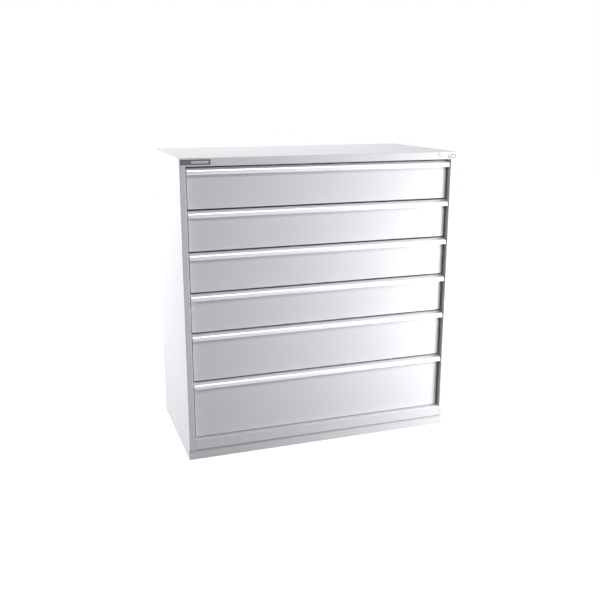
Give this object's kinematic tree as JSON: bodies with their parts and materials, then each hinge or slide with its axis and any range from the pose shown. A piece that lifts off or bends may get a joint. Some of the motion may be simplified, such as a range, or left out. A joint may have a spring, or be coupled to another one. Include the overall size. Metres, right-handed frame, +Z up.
{
  "type": "drawer cabinet",
  "caption": "Extra-wide free-standing steel drawer cabinet on a recessed plinth, with deep full-extension drawers, full-width finger-pull handles and a central key lock.",
  "frame": {"origin": "on the floor under the middle of the case", "axes": "+X to the right seen from the front, +Y from the drawers to the back, +Z up"},
  "size_m": [1.435, 0.728, 1.511],
  "materials": {
    "case_paint": "light grey-white powder coat, fine satin",
    "drawer_paint": "light grey-white powder coat, fine satin",
    "handle_aluminium": "satin clear-anodised extrusion",
    "clear_strip": "clear label cover over a pale paper strip",
    "cap_plastic": "moulded, fine matt",
    "zinc_steel": "bright zinc plate",
    "roller_steel": "turned and zinc plated",
    "rivet_steel": "painted over with the case",
    "nameplate_metal": "brushed plate with a dark printed border and no lettering",
    "label_plate": "printed plate with plain open and closed marks",
    "lock_chrome": "polished chrome plate"
  },
  "bodies": {
    "cabinet": {"side_panel_left": "case_paint", "side_panel_right": "case_paint", "top_panel": "case_paint", "top_rail": "case_paint", "bottom_rail": "case_paint", "floor_panel": "case_paint", "back_panel": "case_paint", "back_panel_rivets": "rivet_steel", "base_plinth": "case_paint", "slotted_uprights": "zinc_steel", "fixed_runners": "zinc_steel", "nameplate": "nameplate_metal", "lock_barrel": "lock_chrome", "lock_nut": "zinc_steel", "lock_label": "label_plate"},
    "lock": {"lock_plug": "lock_chrome", "lock_cam": "zinc_steel"},
    "lock_linkage": {"locking_bar": "zinc_steel"},
    "drawer_1": {"drawer_1_box": "drawer_paint", "drawer_1_front": "drawer_paint", "drawer_1_handle": "handle_aluminium", "drawer_1_label_strip": "clear_strip", "drawer_1_end_caps": "cap_plastic", "drawer_1_rails": "zinc_steel"},
    "slide_carriage_1": {"carriage_1": "roller_steel"},
    "drawer_2": {"drawer_2_box": "drawer_paint", "drawer_2_front": "drawer_paint", "drawer_2_handle": "handle_aluminium", "drawer_2_label_strip": "clear_strip", "drawer_2_end_caps": "cap_plastic", "drawer_2_rails": "zinc_steel"},
    "slide_carriage_2": {"carriage_2": "roller_steel"},
    "drawer_3": {"drawer_3_box": "drawer_paint", "drawer_3_front": "drawer_paint", "drawer_3_handle": "handle_aluminium", "drawer_3_label_strip": "clear_strip", "drawer_3_end_caps": "cap_plastic", "drawer_3_rails": "zinc_steel"},
    "slide_carriage_3": {"carriage_3": "roller_steel"},
    "drawer_4": {"drawer_4_box": "drawer_paint", "drawer_4_front": "drawer_paint", "drawer_4_handle": "handle_aluminium", "drawer_4_label_strip": "clear_strip", "drawer_4_end_caps": "cap_plastic", "drawer_4_rails": "zinc_steel"},
    "slide_carriage_4": {"carriage_4": "roller_steel"},
    "drawer_5": {"drawer_5_box": "drawer_paint", "drawer_5_front": "drawer_paint", "drawer_5_handle": "handle_aluminium", "drawer_5_label_strip": "clear_strip", "drawer_5_end_caps": "cap_plastic", "drawer_5_rails": "zinc_steel"},
    "slide_carriage_5": {"carriage_5": "roller_steel"},
    "drawer_6": {"drawer_6_box": "drawer_paint", "drawer_6_front": "drawer_paint", "drawer_6_handle": "handle_aluminium", "drawer_6_label_strip": "clear_strip", "drawer_6_end_caps": "cap_plastic", "drawer_6_rails": "zinc_steel"},
    "slide_carriage_6": {"carriage_6": "roller_steel"}
  },
  "joints": [
    {"name": "lock_turn", "type": "hinge", "parent": "cabinet", "child": "lock", "pos_m": [0.63, -0.362, 1.491], "axis": [0, 1, 0], "range_deg": [0, 90]},
    {"name": "locking_bar_slide", "type": "slide", "parent": "cabinet", "child": "lock_linkage", "axis": [0, 0, -1], "range_m": [0, 0.01414]},
    {"name": "drawer_1_slide", "type": "slide", "parent": "cabinet", "child": "drawer_1", "axis": [0, -1, 0], "range_m": [0, 0.6]},
    {"name": "slide_carriage_1_slide", "type": "slide", "parent": "cabinet", "child": "slide_carriage_1", "axis": [0, -1, 0], "range_m": [0, 0.3]},
    {"name": "drawer_2_slide", "type": "slide", "parent": "cabinet", "child": "drawer_2", "axis": [0, -1, 0], "range_m": [0, 0.6]},
    {"name": "slide_carriage_2_slide", "type": "slide", "parent": "cabinet", "child": "slide_carriage_2", "axis": [0, -1, 0], "range_m": [0, 0.3]},
    {"name": "drawer_3_slide", "type": "slide", "parent": "cabinet", "child": "drawer_3", "axis": [0, -1, 0], "range_m": [0, 0.6]},
    {"name": "slide_carriage_3_slide", "type": "slide", "parent": "cabinet", "child": "slide_carriage_3", "axis": [0, -1, 0], "range_m": [0, 0.3]},
    {"name": "drawer_4_slide", "type": "slide", "parent": "cabinet", "child": "drawer_4", "axis": [0, -1, 0], "range_m": [0, 0.6]},
    {"name": "slide_carriage_4_slide", "type": "slide", "parent": "cabinet", "child": "slide_carriage_4", "axis": [0, -1, 0], "range_m": [0, 0.3]},
    {"name": "drawer_5_slide", "type": "slide", "parent": "cabinet", "child": "drawer_5", "axis": [0, -1, 0], "range_m": [0, 0.6]},
    {"name": "slide_carriage_5_slide", "type": "slide", "parent": "cabinet", "child": "slide_carriage_5", "axis": [0, -1, 0], "range_m": [0, 0.3]},
    {"name": "drawer_6_slide", "type": "slide", "parent": "cabinet", "child": "drawer_6", "axis": [0, -1, 0], "range_m": [0, 0.6]},
    {"name": "slide_carriage_6_slide", "type": "slide", "parent": "cabinet", "child": "slide_carriage_6", "axis": [0, -1, 0], "range_m": [0, 0.3]}
  ],
  "couplings": [
    {"joint": "lock_turn", "follows": "locking_bar_slide", "rad_per_m": 111.07},
    {"joint": "slide_carriage_1_slide", "follows": "drawer_1_slide", "ratio": 0.5},
    {"joint": "slide_carriage_2_slide", "follows": "drawer_2_slide", "ratio": 0.5},
    {"joint": "slide_carriage_3_slide", "follows": "drawer_3_slide", "ratio": 0.5},
    {"joint": "slide_carriage_4_slide", "follows": "drawer_4_slide", "ratio": 0.5},
    {"joint": "slide_carriage_5_slide", "follows": "drawer_5_slide", "ratio": 0.5},
    {"joint": "slide_carriage_6_slide", "follows": "drawer_6_slide", "ratio": 0.5}
  ]
}
